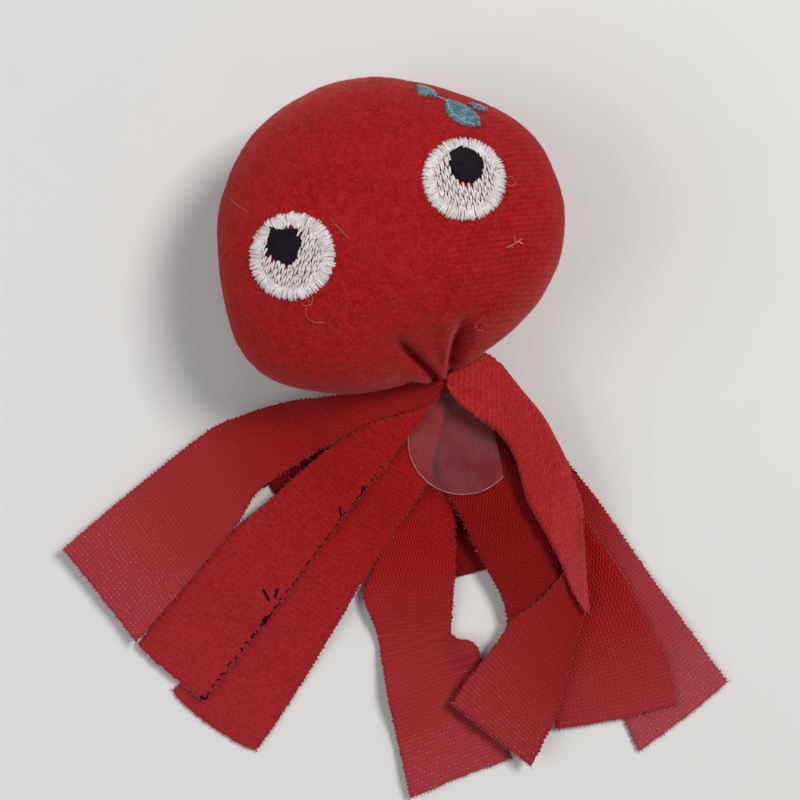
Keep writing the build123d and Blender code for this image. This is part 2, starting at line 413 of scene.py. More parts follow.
def floor_material():
    """Pale card that stays as pale far away, where the lamps no longer reach, as it is close by."""
    g = Graph("floor_card")
    place = g.place()
    grain = g.noise(place, 60.0, 4.0)
    away = g.node("ShaderNodeVectorMath", 1, {"operation": "LENGTH"}, Vector=place)
    g.plug(g.shader.inputs["Emission Color"], rgb(0.95, 0.945, 0.93))
    g.plug(g.shader.inputs["Emission Strength"], g.ramp(away, 0.2, 2.6, 0.0, 0.50))
    return g.finish(g.mix(grain, rgb(0.645, 0.64, 0.63), rgb(0.67, 0.665, 0.655)), 0.6)


PLUSH = plush_material()
# The skirt's plush at half the brightness is painted shade, for the hollow below the neck under the
# strips.
SKIRT_PAINTED_SHADE = plush_material("plush_red_skirt_painted_shade", 0.5)
LOOPED = strip_material("strip_looped_side", True)
# A darker copy of the looped side: painted shade for the strip that lies in the shadow of the folded strip
# above it.
LOOPED_SHADED = strip_material("strip_looped_side_painted_shade", True, 0.72, 0.4)
LOOPED_FOLDED = strip_material("strip_looped_side_folded", True, 0.90, 0.8, 24.0)
LOOPED_MIDDLE = strip_material("strip_looped_side_middle", True, 0.97, 1.15, 18.0)
LOOPED_PALE = strip_material("strip_looped_side_pale", True, 1.04, 1.55)
BRUSHED = strip_material("strip_brushed_side", False)
BRUSHED_PALE = strip_material("strip_brushed_side_pale", False, 1.25, 2.0, ribs=0.24)
WHITE = thread_material("white_thread", rgb(0.52, 0.46, 0.46), rgb(0.74, 0.70, 0.69), 0.36)
BLACK = thread_material("black_thread", rgb(0.003, 0.002, 0.005), rgb(0.012, 0.007, 0.014), 0.7, 0.12,
                        sheen=0.0)
TEAL = thread_material("teal_thread", rgb(0.03, 0.12, 0.15), rgb(0.15, 0.38, 0.43), 0.22, 0.9, 0.35)
TIE = thread_material("red_thread", rgb(0.20, 0.004, 0.006), rgb(0.42, 0.02, 0.02), 0.5)
INK = thread_material("ink", rgb(0.005, 0.002, 0.010), rgb(0.030, 0.004, 0.022), 0.9, 0.05, sheen=0.0)
FIBRE = fibre_material("red_fibre", rgb(0.26, 0.007, 0.009), rgb(0.42, 0.030, 0.032))
EDGE_FIBRE = fibre_material("edge_fibre", rgb(0.36, 0.022, 0.026), rgb(0.52, 0.065, 0.075))
PALE_FIBRE = fibre_material("pale_fibre", rgb(0.55, 0.25, 0.24), rgb(0.80, 0.55, 0.52), 0.5)
STRAW = fibre_material("straw_fibre", rgb(0.55, 0.30, 0.05), rgb(0.80, 0.55, 0.16), 0.5)
FILLING = fibre_material("fibrefill", rgb(0.72, 0.72, 0.70), rgb(0.90, 0.90, 0.88))
FILM = film_material()
FILM_EDGE = fibre_material("film_edge", rgb(0.27, 0.13, 0.14), rgb(0.40, 0.25, 0.26), 0.3)
COTTON = cotton_material()

floor = mesh_piece(
    "floor", [(-9, -9, -0.0001), (9, -9, -0.0001), (9, 9, -0.0001), (-9, 9, -0.0001)],
    [(0, 1, 2, 3)], [floor_material()],
)


# ---------------------------------------------------------------- head
def outer_skin(node):
    """The outermost closed surface of a CAD node, as a bmesh."""
    skin = bmesh.new()
    skin.from_mesh(frame["nodes"][node].data)
    bmesh.ops.remove_doubles(skin, verts=skin.verts, dist=1e-6)
    left, islands = set(skin.verts), []
    while left:
        stack = [left.pop()]
        island = list(stack)
        while stack:
            for edge in stack.pop().link_edges:
                for vert in edge.verts:
                    if vert in left:
                        left.remove(vert)
                        stack.append(vert)
                        island.append(vert)
        islands.append(island)
    islands.sort(key=lambda verts: max(v.co.x for v in verts))
    for island in islands[:-1]:
        bmesh.ops.delete(skin, geom=island, context="VERTS")
    return skin


def with_modifiers_applied(piece):
    """The piece with its mesh as its modifiers leave it, and the modifiers gone."""
    depsgraph = bpy.context.evaluated_depsgraph_get()
    final = bpy.data.meshes.new_from_object(piece.evaluated_get(depsgraph))
    piece.modifiers.clear()
    piece.data = final
    final.name = piece.name
    return piece


def remeshed(skin, name, voxel, rounds):
    """The skin remeshed evenly and smoothed."""
    mesh = bpy.data.meshes.new(name)
    skin.to_mesh(mesh)
    skin.free()
    piece = bpy.data.objects.new(name, mesh)
    scene.collection.objects.link(piece)
    remesh = piece.modifiers.new("even", "REMESH")
    remesh.mode, remesh.voxel_size = "VOXEL", voxel
    soften = piece.modifiers.new("soft", "SMOOTH")
    soften.factor, soften.iterations = 0.5, rounds
    return with_modifiers_applied(piece)


def divided(piece, levels):
    divide = piece.modifiers.new("fine", "SUBSURF")
    divide.levels = divide.render_levels = levels
    return with_modifiers_applied(piece)


PRESSURE_FRAMES = 20
START_INSIDE = 0.7  # the head starts this much smaller than it ends
EASE_IN_COVER = 0.026  # how much larger the cover was cut than the shape it starts from
MOST_SWELL = 1.3  # and no point of it may move further than this


def swollen(piece):
    """The head's cloth pressed out by its stuffing, held at the neck and where it rests."""
    start = read_points(piece)
    inside = start - read_normals(piece) * START_INSIDE
    held = (np.linalg.norm(start[:, :2] - NECK, axis=1) < 6) | (start[:, 2] < 0.8)
    inside[held] = start[held]
    write_points(piece, inside)
    group = piece.vertex_groups.new(name="held")
    group.add(np.flatnonzero(held).tolist(), 1.0, "REPLACE")
    cloth = piece.modifiers.new("stuffed", "CLOTH")
    cloth.settings.quality = 5
    cloth.settings.mass = 0.01
    cloth.settings.shrink_min = -EASE_IN_COVER
    cloth.settings.tension_stiffness = cloth.settings.compression_stiffness = 8.0
    cloth.settings.bending_stiffness = 0.02
    cloth.settings.vertex_group_mass = "held"
    cloth.settings.use_pressure = True
    cloth.settings.uniform_pressure_force = 30.0
    cloth.settings.effector_weights.gravity = 0.0
    cloth.point_cache.frame_start, cloth.point_cache.frame_end = 1, PRESSURE_FRAMES
    for frame_number in range(1, PRESSURE_FRAMES + 1):
        scene.frame_set(frame_number)
    with_modifiers_applied(piece)
    scene.frame_set(1)
    piece.vertex_groups.clear()
    end = read_points(piece)
    move = end - inside
    far = np.maximum(np.linalg.norm(move, axis=1, keepdims=True), 1e-9)
    end = inside + move * np.minimum(1.0, MOST_SWELL / far)
    end[:, 2] = np.maximum(end[:, 2], 0.0)
    write_points(piece, end)
    return piece


def read_points(piece):
    co = np.zeros(len(piece.data.vertices) * 3)
    piece.data.vertices.foreach_get("co", co)
    return co.reshape(-1, 3) / MM


def write_points(piece, points):
    piece.data.vertices.foreach_set("co", (points * MM).astype(np.float32).ravel())
    piece.data.update()


def read_normals(piece):
    normals = np.zeros(len(piece.data.vertices) * 3)
    piece.data.vertices.foreach_get("normal", normals)
    return normals.reshape(-1, 3)


def ease(value, low, high):
    t = np.clip((value - low) / (high - low), 0, 1)
    return t * t * (3 - 2 * t)


NECK_HEIGHT = 17.0
TAPER_REACH = 15.0  # how far from the neck the head starts to narrow
# direction seen from the neck (degrees right of the crown), width in degrees, depth and reach in mm
CREASES = [(-31, 7, 2.6, 17), (38, 8, 3.0, 15), (4, 6, 0.8, 9), (66, 7, 1.2, 10), (-70, 8, 1.3, 9)]


def neck_directions(points):
    """Plan distance from the neck, and direction from it: 0 towards the crown, right positive."""
    off = points[:, :2] - NECK
    ahead, side = off @ NECK_WAY, off @ NECK_SIDE
    return np.hypot(ahead, side), np.degrees(np.arctan2(side, ahead))


def tapered(points):
    """The head's points drawn in towards the neck, as a tied sack is."""
    distance, _ = neck_directions(points)
    share = 0.24 + 0.76 * ease(distance, -2.0, TAPER_REACH) ** 0.8
    out = points.copy()
    out[:, 2] = NECK_HEIGHT + (points[:, 2] - NECK_HEIGHT) * share
    return out


def creased(points, normals):
    """The gathers that run out from the neck, deep in front and finer all round."""
    distance, direction = neck_directions(points)
    upper = ease(points[:, 2], NECK_HEIGHT - 4, NECK_HEIGHT + 2)
    depth = np.zeros(len(points))
    for aim, width, deep, reach in CREASES:
        bent = aim - (aim < 0) * 24 * np.exp(-distance / 4.5)  # those on the left curve as they near it
        spread = width * (1 + 2.2 * np.exp(-distance / 4))
        profile = np.exp(-(((direction - bent) / spread) ** 2))
        fade = ease(distance, 0.0, 3.5) * (1 - ease(distance, reach * 0.35, reach))
        depth += deep * profile * fade * upper
        shoulder = np.exp(-(((np.abs(direction - bent) - 2.1 * spread) / (1.1 * spread)) ** 2))
        depth -= 0.28 * deep * shoulder * fade * upper
    around = np.arctan2(points[:, 2] - NECK_HEIGHT, (points[:, :2] - NECK) @ NECK_SIDE)
    fine = np.cos(11 * around + 0.8) + 0.6 * np.cos(17 * around + 2.0)
    depth += 0.45 * fine * np.exp(-distance / 6) * (1 - 0.6 * upper)
    return points - normals * depth[:, None]


def plush_head():
    piece = remeshed(outer_skin("head_cover"), "head_plush", 0.0022, 6)
    swollen(piece)
    divided(piece, 2)
    points = tapered(read_points(piece))
    write_points(piece, points)
    points = creased(points, read_normals(piece))
    lumps = 0.30 * smooth_noise(points, 24.0, 3) + 0.10 * smooth_noise(points, 9.0, 4)
    nap = 0.045 * smooth_noise(points, 1.9, 5)
    low = ease(points[:, 2], 1.0, 5.0)
    points += read_normals(piece) * (lumps * low + nap)[:, None]
    points[:, 2] = np.maximum(points[:, 2], 0.02)
    write_points(piece, points)
    piece.data.materials.clear()
    piece.data.materials.append(PLUSH)
    piece.data.polygons.foreach_set("use_smooth", np.ones(len(piece.data.polygons), bool))
    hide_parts("head_cover")
    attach(piece, "head")
    return piece


head = plush_head()
head_points, head_normals = read_points(head), read_normals(head)
head_tree = BVHTree.FromPolygons(
    [tuple(p) for p in head_points], [tuple(p.vertices) for p in head.data.polygons]
)


def on_head(flat, lift):
    """Points in plan dropped onto the head from above and raised by lift. Gives points, normals."""
    flat = np.asarray(flat, float)
    spots, ups = np.zeros((*flat.shape[:-1], 3)), np.zeros((*flat.shape[:-1], 3))
    for index in np.ndindex(flat.shape[:-1]):
        x, y = flat[index]
        hit, normal, _, _ = head_tree.ray_cast(Vector((x, y, 80)), Vector((0, 0, -1)))
        if hit is None:
            hit, normal, _, _ = head_tree.find_nearest(Vector((x, y, 24)))
        spots[index], ups[index] = hit, normal
    return spots + ups * np.broadcast_to(lift, flat.shape[:-1])[..., None], ups


def node_centre(node):
    low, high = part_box(node)
    return np.array((low + high) / 2)[:2] / MM, (high.x - low.x) / 2 / MM


# ---------------------------------------------------------------- embroidery
STITCH = 0.21  # half the width of a stitch


def head_piece(piece, node):
    if node:
        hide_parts(node)
    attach(piece, "head")
    return piece


def arch(count, low, high):
    """Heights along a stitch that starts and ends in the cloth."""
    return low + (high - low) * np.sin(np.linspace(0.0, math.pi, count)) ** 0.6


def laid(name, flat, low, high, material, node, half=STITCH, flatness=0.6):
    flat = np.asarray(flat, float)
    spots, ups = on_head(flat, arch(flat.shape[1], low, high))
    piece = threads(name, spots, half, half * flatness, ups, material)
    return head_piece(piece, node)


def straight(start, end, steps):
    share = np.linspace(0, 1, steps)[:, None]
    return np.asarray(start) * (1 - share) + np.asarray(end) * share


def rim_stitches(centre, radius):
    """Satin stitches that stand round the eye like spokes, two uneven rounds of them."""
    paths = []
    for layer, count in enumerate((150, 104)):
        for k in range(count):
            turn = 2 * math.pi * (k + 0.5 * layer) / count + random.normal(0, 0.008)
            lean = turn + random.normal(0, 0.022)
            inner = radius - 2.45 + random.uniform(-0.3, 0.3)
            outer = radius + random.uniform(-0.42, 0.14)
            start = centre + inner * np.array([math.cos(turn), math.sin(turn)])
            end = centre + outer * np.array([math.cos(lean), math.sin(lean)])
            paths.append(straight(start, end, 6))
    return paths


def inside(outline, point):
    """True if the point is within the closed outline."""
    x, y = point
    hit = False
    for (x1, y1), (x2, y2) in zip(outline, np.roll(outline, -1, axis=0)):
        if (y1 > y) != (y2 > y) and x < x1 + (y - y1) / (y2 - y1) * (x2 - x1):
            hit = not hit
    return hit


def fill_stitches(centre, radius, aim, keep_off):
    """Loose slanted stitches, end to end in lines, with the red cloth showing between."""
    way = np.array([math.cos(math.radians(aim)), math.sin(math.radians(aim))])
    side = np.array([-way[1], way[0]])
    paths = []
    for line, offset in enumerate(np.arange(-radius, radius, 0.49)):
        half = math.sqrt(max(radius**2 - offset**2, 0))
        place = -half - (line * 0.37 % 1) * 2.1
        while place < half:
            length = 2.15 + random.uniform(-0.25, 0.25)
            start, end = max(place, -half), min(place + length, half)
            place += length - 0.05
            if end - start < 0.5:
                continue
            slip = random.normal(0, 0.05)
            lean = 0.13 * (1 if line % 2 else -1)
            a = centre + way * start + side * (offset + slip - lean)
            b = centre + way * end + side * (offset + slip + lean)
            if not inside(keep_off, (a + b) / 2):
                paths.append(straight(a, b, 5))
    return paths


def pupil_stitches(outline, aim):
    """Dense black stitches whose ragged ends make the pupil's edge."""
    middle = outline.mean(0)
    way = np.array([math.cos(math.radians(aim)), math.sin(math.radians(aim))])
    side = np.array([-way[1], way[0]])
    paths = []
    for offset in np.arange(-4.6, 4.6, 0.18):
        hits = [t for t in np.arange(-4.8, 4.8, 0.1) if inside(outline, middle + way * t + side * offset)]
        if len(hits) > 3:
            low = hits[0] + random.uniform(-0.50, 0.25)
            high = hits[-1] + random.uniform(-0.25, 0.50)
            tilt = random.normal(0, 0.05)
            paths.append(straight(middle + way * low + side * (offset - tilt),
                                  middle + way * high + side * (offset + tilt), 7))
    return paths


PUPILS = {
    "left": [(-2.6, 3.9), (-0.5, 3.1), (2.1, 3.3), (3.4, 1.9), (3.3, -0.9), (2.2, -2.8), (0.7, -3.8),
             (-1.6, -2.6), (-3.3, -1.6), (-3.2, 1.9)],
    "right": [(-0.5, 3.9), (1.6, 3.2), (2.8, 1.6), (3.4, -0.2), (2.9, -2.1), (1.9, -3.3), (0.7, -3.9),
              (-1.2, -3.1), (-2.8, -2.5), (-3.2, -0.2), (-3.2, 2.1), (-2.0, 2.9)],
}
PUPIL_SHIFT = {"left": (0.45, 0.0), "right": (-0.1, 0.2)}
FILL_AIM = {"left": 70, "right": 101}
EYE_TRIM = 0.35  # the stitches end this much inside the CAD border


def underlay(centre, radius):
    """Rounds of thread that lie under the border's satin stitches and close its gaps."""
    turn = np.linspace(0, 2 * math.pi, 73)
    ring = np.stack([np.cos(turn), np.sin(turn)], 1)
    return [centre + (radius - inset) * ring for inset in np.arange(0.5, 2.4, 0.26)]


for eye in ("left", "right"):
    eye_centre, eye_radius = node_centre(f"{eye}_eye_rim")
    eye_radius -= EYE_TRIM
    pupil = np.array(PUPILS[eye]) * 0.97 + node_centre(f"{eye}_eye_pupil")[0] + PUPIL_SHIFT[eye]
    laid(f"{eye}_eye_white_stitches", fill_stitches(eye_centre, eye_radius - 1.7, FILL_AIM[eye], pupil),
         0.05, 0.34, WHITE, f"{eye}_eye_white", 0.24)
    under, under_ups = on_head(underlay(eye_centre, eye_radius), 0.10)
    head_piece(threads(f"{eye}_eye_rim_underlay", under, 0.16, 0.10, under_ups, WHITE), None)
    laid(f"{eye}_eye_rim_stitches", rim_stitches(eye_centre, eye_radius),
         0.08, 0.50, WHITE, f"{eye}_eye_rim", 0.165)
    laid(f"{eye}_eye_pupil_stitches", pupil_stitches(pupil, FILL_AIM[eye] - 62),
         0.16, 0.56, BLACK, f"{eye}_eye_pupil", 0.15)


def petal_stitches(tip, butt, width, bluntness):
    """Satin stitches across a petal that starts in a point at tip and is widest towards butt."""
    tip, butt = np.array(tip), np.array(butt)
    way = unit(butt - tip)
    side = np.array([-way[1], way[0]])
    length = np.linalg.norm(butt - tip)
    paths = []
    for t in np.arange(0.04, 0.98, 0.33 / length):
        half = width / 2 * (math.sin(math.pi * t**bluntness) ** 0.75)
        mid = tip + way * length * t
        slant = way * 0.35 * half
        paths.append(straight(mid - side * (half + random.uniform(-0.16, 0.16)) - slant,
                              mid + side * (half + random.uniform(-0.16, 0.16)) + slant, 7))
    return paths


PETALS = {
    "crown_petal_left": ((8.6, 26.1), (4.9, 28.3), 2.4, 1.1),
    "crown_petal_front": ((10.6, 25.2), (16.7, 19.7), 4.5, 0.95),
    "crown_petal_right": ((14.9, 24.9), (18.3, 23.6), 1.1, 1.0),
}
for petal, (tip, butt, width, bluntness) in PETALS.items():
    laid(f"{petal}_stitches", petal_stitches(tip, butt, width, bluntness), 0.06, 0.62, TEAL,
         petal, 0.16, 0.8)
laid("crown_jump_thread", [straight((8.3, 26.1), (10.9, 24.9), 6)], 0.1, 0.45, TEAL, None,
     0.13, 1.0)


# ---------------------------------------------------------------- tentacles
# Heights in the pile are given at these distances from the neck, in mm.
RADII = np.array([3.8, 14.0, 24.0, 34.0, 44.0, 54.0, 70.0, 96.0])
PILE_FLOOR = np.array([5.5, 4.4, 2.0, 0.3, 0.1, 0.1, 0.1, 0.1])
PITCH = 1.25  # from one place in the pile to the next
MIDDLE = 0.475  # a strip's middle is this far above the underside of its place
CLOTH = 0.75  # thickness of a strip
CUT = 22.0  # width that the strips were cut to
ROOT = 3.6  # the strips start this far from the neck line

# Each strip: its body, which side is up, its places in the pile at RADII, its two edges from the
# neck out, the bulge of its end, and the curl of its edges.
STRIPS = {
    "tentacle_1_far_left": dict(
        body="far_left_tentacle", up="looped", root=0.6, places=(8, 8, 8, 5, 4, 3.3, 2, 2),
        left=[(6.0, -27.2), (2.0, -28.2), (-3.0, -29.4), (-9.0, -30.9), (-15.6, -31.8),
              (-20.4, -32.2), (-27.1, -33.9), (-36.7, -37.4),
              (-46.0, -44.4), (-57.4, -53.6), (-68.5, -63.2)],
        right=[(7.4, -33.4), (-4.0, -36.4), (-14.8, -42.4), (-23.0, -47.4), (-28.1, -51.2),
               (-31.9, -57.8), (-41.0, -68.6), (-53.3, -82.7)], bulge=0.0, curl=0.35),
    "tentacle_2_left": dict(
        body="left_tentacle", up="brushed", root=0.6, places=(7, 7, 6.5, 4, 3, 2.3, 1, 1),
        left=[(-5.0, -35.4), (-17.0, -45.4), (-26.0, -53.4), (-34.2, -60.0), (-45.1, -71.8),
              (-53.1, -83.2)],
        right=[(10.2, -30.9), (6.9, -34.9), (3.6, -39.2), (-0.9, -44.9), (-9.7, -55.8),
               (-18.0, -67.2), (-26.2, -78.2), (-39.0, -94.8)], bulge=0.6, curl=0.1),
    "tentacle_3_left_under": dict(
        body="left_under_tentacle", up="brushed", places=(5, 5, 5, 2.2, 2, 1.3, 0, 0),
        left=[(-8.0, -47.0), (-26.0, -69.0), (-46.0, -93.2)],
        right=[(10.8, -34.0), (7.3, -49.0), (1.0, -58.6), (-7.0, -71.4), (-18.3, -90.6),
               (-25.6, -101.8), (-28.6, -105.6)], bulge=1.3, curl=0.0),
    "tentacle_4_centre": dict(
        body="centre_tentacle", up="looped", places=(2.6, 3.0, 2.8, 1.6, 1, 0, 0, 0),
        left=[(4.4, -46.0), (-1.2, -60.0), (-6.4, -72.4), (-5.3, -75.6), (-3.2, -80.8),
              (-1.1, -93.4), (1.2, -104.0), (3.7, -115.3)],
        right=[(12.6, -34.0), (13.1, -51.1), (13.1, -69.1), (12.2, -80.9), (13.4, -82.0),
               (16.2, -82.3), (18.0, -83.8), (18.5, -86.4), (20.6, -92.0), (24.9, -107.2)],
        bulge=0.0, curl=0.15, rounding=1.6),
    "tentacle_5_centre_right": dict(
        # This strip's cloth is the darker looped side, painted shade from the folded strip above it.
        body="centre_right_tentacle", up="looped", cloth="deep", cut=18.0,
        places=(4, 4, 4, 3.2, 3, 2, 2, 2),
        left=[(9.0, -35.0), (8.8, -44.0), (11.2, -51.4), (14.5, -57.2), (18.1, -64.3),
              (20.4, -68.9), (22.7, -72.8), (24.2, -78.4), (21.6, -87.0), (18.4, -94.3)],
        right=[(15.4, -33.0), (25.0, -45.0), (33.2, -62.0), (36.4, -77.0), (34.0, -88.0),
               (30.7, -98.0)], bulge=0.0, curl=0.1),
    "tentacle_7_right": dict(
        body="right_tentacle", up="looped", cloth="middle", places=(3, 3, 3, 2.2, 2, 1, 1, 1),
        left=[(18.0, -48.0), (28.0, -67.0), (33.0, -85.0), (34.0, -100.7)],
        right=[(16.0, -31.8), (24.0, -38.0), (36.0, -50.0), (48.2, -68.8), (57.6, -86.7),
               (59.4, -95.6)], bulge=0.8, curl=0.1),
    "tentacle_8_far_right": dict(
        body="far_right_tentacle", up="looped", cloth="pale", places=(2, 2, 2, 1.1, 1, 0, 0, 0),
        left=[(22.0, -48.0), (34.0, -70.0), (43.6, -88.0), (51.5, -105.7)],
        right=[(16.4, -30.8), (24.0, -33.4), (33.6, -41.4), (43.1, -53.1), (54.2, -69.1),
               (70.2, -91.2)], bulge=0.5, curl=0.2),
}
FOLDED = dict(
    body="folded_tentacle", up="brushed", cloth="folded", root=0.6,
    places=(9, 9, 7.7, 6.2, 5.4, 4.5, 4.5, 4.5),
    left=[(11.7, -30.9), (15.3, -34.5), (18.8, -36.7), (23.1, -39.8), (25.6, -44.4), (27.7, -52.7),
          (32.0, -59.9), (35.9, -67.8), (37.9, -73.4), (40.0, -76.0)],
    right=[(12.0, -25.2), (14.8, -22.9), (18.2, -22.3), (21.2, -24.2), (25.4, -29.6), (30.6, -35.5),
           (34.9, -43.2), (37.6, -49.6), (39.0, -54.1), (39.2, -60.2)], bulge=0.0, curl=0.5,
)
FOLDED_BACK = dict(
    places=(9, 9, 6.5, 5, 4.2, 3.1, 3.1, 3.1),
    left=[(39.2, -79.4), (35.7, -90.6), (34.0, -98.5), (28.8, -108.3)],
    right=[(35.3, -68.4), (30.3, -74.0), (24.7, -77.7), (22.6, -81.3), (18.4, -86.7), (14.5, -91.7),
           (12.6, -95.2)],
)
# The deep cloth is the looped side darkened as painted shade.
CLOTHS = {
    "plain": [LOOPED, BRUSHED], "deep": [LOOPED_SHADED, BRUSHED], "middle": [LOOPED_MIDDLE, BRUSHED],
    "pale": [LOOPED_PALE, BRUSHED], "folded": [LOOPED_FOLDED, BRUSHED_PALE],
}
RIPPLED = 4  # the number of the strip with fine ripples where it bends
# Where a strip stands up from its pile, by its number: x, y, radius and lift in mm.
BUMPS = {
    4: [(15.6, -84.0, 3.4, 2.6), (11.4, -82.6, 2.2, -0.2), (-5.6, -77.0, 5.0, 2.2),
        (-2.0, -94.0, 9.0, 3.0), (3.0, -112.0, 7.0, 1.8)],
    3: [(-9.0, -76.0, 6.0, 0.5)],
    1: [(-66.0, -64.0, 9.0, 0.8)],
}
ROWS_PER_MM = 3.6
COLUMNS = 30


def along_edge(points, count, skip=0.0, rounding=5):
    """count points spaced evenly along a rounded line through the points."""
    points = np.asarray(points, float)
    reach = np.r_[0, np.cumsum(np.linalg.norm(np.diff(points, axis=0), axis=1))]
    fine = np.linspace(skip, reach[-1], 400)
    line = np.stack([np.interp(fine, reach, points[:, k]) for k in (0, 1)], axis=1)
    window = int(rounding / (reach[-1] - skip) * 400) | 1
    padded = np.pad(line, ((window // 2,) * 2, (0, 0)), mode="reflect", reflect_type="odd")
    line = np.stack([np.convolve(padded[:, k], np.ones(window) / window, "valid") for k in (0, 1)], 1)
    pick = np.linspace(0, len(line) - 1, count)
    return np.stack([np.interp(pick, np.arange(len(line)), line[:, k]) for k in (0, 1)], axis=1)


def pile_height(distance, places):
    """Height of a strip's middle at a distance from the neck, eased between the levels."""
    levels = PILE_FLOOR + np.array(places) * PITCH + MIDDLE
    total = np.zeros_like(distance)
    for shift in np.linspace(-4, 4, 9):
        total += np.interp(np.maximum(distance + shift, RADII[0]), RADII, levels)
    return total / 9


def jagged_edges(grid, seed, size=0.26):
    """The fine saw-tooth of a cut knit edge, on both sides and the end of a strip's grid."""
    rows, columns, _ = grid.shape
    noise = np.random.default_rng(seed)
    out = grid.copy()
    for column, inner in ((0, 1), (columns - 1, columns - 2)):
        way = unit(grid[:, column] - grid[:, inner])
        tooth = np.abs((np.arange(rows) / 3.4 + noise.uniform()) % 1 - 0.5) * 4 - 1
        out[:, column] += way * ((tooth * 0.55 + noise.normal(0, 0.35, rows)) * size)[:, None]
    way = unit(grid[-1] - grid[-2])
    out[-1] += way * (noise.normal(0, 0.35, columns) * size)[:, None]
    return out


def cloth_sheet(name, centre, thickness, materials, uv, side_up):
    """A closed thin sheet round a grid of middle points in mm, thinner at its cut edges."""
    rows, columns, _ = centre.shape
    du, dv = np.gradient(centre, axis=0), np.gradient(centre, axis=1)
    normal = unit(np.cross(dv, du))
    if normal[0, :, 2].mean() < 0:
        normal = -normal
    half = np.full((rows, columns), thickness / 2)
    half[:, 0] = half[:, -1] = half[-1] = thickness * 0.16
    half[:, 1] = half[:, -2] = half[-2] = thickness * 0.40
    top = centre + normal * half[..., None]
    bottom = centre - normal * half[..., None]
    points = np.concatenate([top.reshape(-1, 3), bottom.reshape(-1, 3)]) * MM
    index = np.arange(rows * columns).reshape(rows, columns)
    a, b, c, d = index[:-1, :-1], index[:-1, 1:], index[1:, 1:], index[1:, :-1]
    upper = np.stack([a, b, c, d], -1).reshape(-1, 4)
    facing = np.cross(centre[0, 1] - centre[0, 0], centre[1, 0] - centre[0, 0])
    if facing @ normal[0, 0] < 0:
        upper = upper[:, ::-1]
    lower = upper[:, ::-1] + rows * columns
    ring = np.concatenate([index[0, :], index[1:, -1], index[-1, -2::-1], index[-2:0:-1, 0]])
    after = np.roll(ring, -1)
    wall = np.stack([ring, after, after + rows * columns, ring + rows * columns], -1)
    if facing @ normal[0, 0] > 0:
        wall = wall[:, ::-1]
    faces = np.concatenate([upper, lower, wall])
    first, second = (0, 1) if side_up == "looped" else (1, 0)
    slots = np.r_[np.full(len(upper), first), np.full(len(lower), second), np.full(len(wall), first)]
    return mesh_piece(name, points, faces, materials, slots, np.concatenate([uv, uv])), normal


def strip_grids(parts, rounding=5):
    """A ruled sheet between two edges for each part, as a grid of middle points in mm."""
    grids = []
    for left, right, places, skip in parts:
        length = np.linalg.norm(np.diff(np.asarray(left), axis=0), axis=1).sum()
        rows = max(int(length * ROWS_PER_MM), 8)
        a = along_edge(left, rows, skip, rounding)
        b = along_edge(right, rows, skip, rounding)
        w = np.linspace(0, 1, COLUMNS)[None, :, None]
        flat = a[:, None] * (1 - w) + b[:, None] * w
        distance = np.linalg.norm(flat - NECK, axis=-1)
        grids.append(np.dstack([flat, pile_height(distance, places)]))
    return grids


def shaped(grid, seed, curl, bulge):
    """The grid with small waves, gathers near the neck, bumps, curled edges and a bulging end."""
    rows, columns, _ = grid.shape
    w = np.linspace(-1, 1, columns)[None, :]
    t = np.linspace(0, 1, rows)[:, None]
    distance = np.linalg.norm(grid[..., :2] - NECK, axis=-1)
    out = grid.copy()
    flat = grid[..., :2].reshape(-1, 2)
    waves = smooth_noise(flat, 26.0, seed).reshape(rows, columns)
    ripples = smooth_noise(flat, 8.0, seed + 50).reshape(rows, columns)
    out[..., 2] += 0.16 * waves + 0.05 * ripples
    out[..., 2] += 0.9 * np.exp(-distance / 3.0)
    out[..., 2] += 0.16 * np.sin(w * 9.5 + seed) * np.exp(-distance / 16)
    out[..., 2] += curl * np.abs(w) ** 5 * t * (1 + 0.6 * waves)
    if seed == RIPPLED:
        fan = np.exp(-(((grid[..., 1] + 84) / 9) ** 2))
        out[..., 2] += 0.11 * fan * np.sin((grid[..., 1] - 0.35 * grid[..., 0]) * 2 * math.pi / 1.9)
    for x, y, radius, lift in BUMPS.get(seed, ()):
        out[..., 2] += lift * np.exp(-(((grid[..., 0] - x) ** 2 + (grid[..., 1] - y) ** 2) / radius**2))
    way = unit(grid[-1, columns // 2, :2] - grid[-12, columns // 2, :2])
    reach = bulge * ease(t, 0.90, 1.0) * (1 - w**2) ** 0.6
    out[..., :2] += reach[..., None] * way
    return out


def cloth_uv(grid):
    """Distance across and along the cloth, in cm, at each point of the grid."""
    columns = grid.shape[1]
    middle = grid[:, columns // 2]
    along = np.r_[0, np.cumsum(np.linalg.norm(np.diff(middle, axis=0), axis=1))]
    across = np.linspace(0, CUT, columns)
    return np.stack(np.broadcast_arrays(across[None, :] / 10, along[:, None] / 10), -1).reshape(-1, 2)


def follow_joint(piece):
    """The piece's placement is baked into its points."""
    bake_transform(piece)


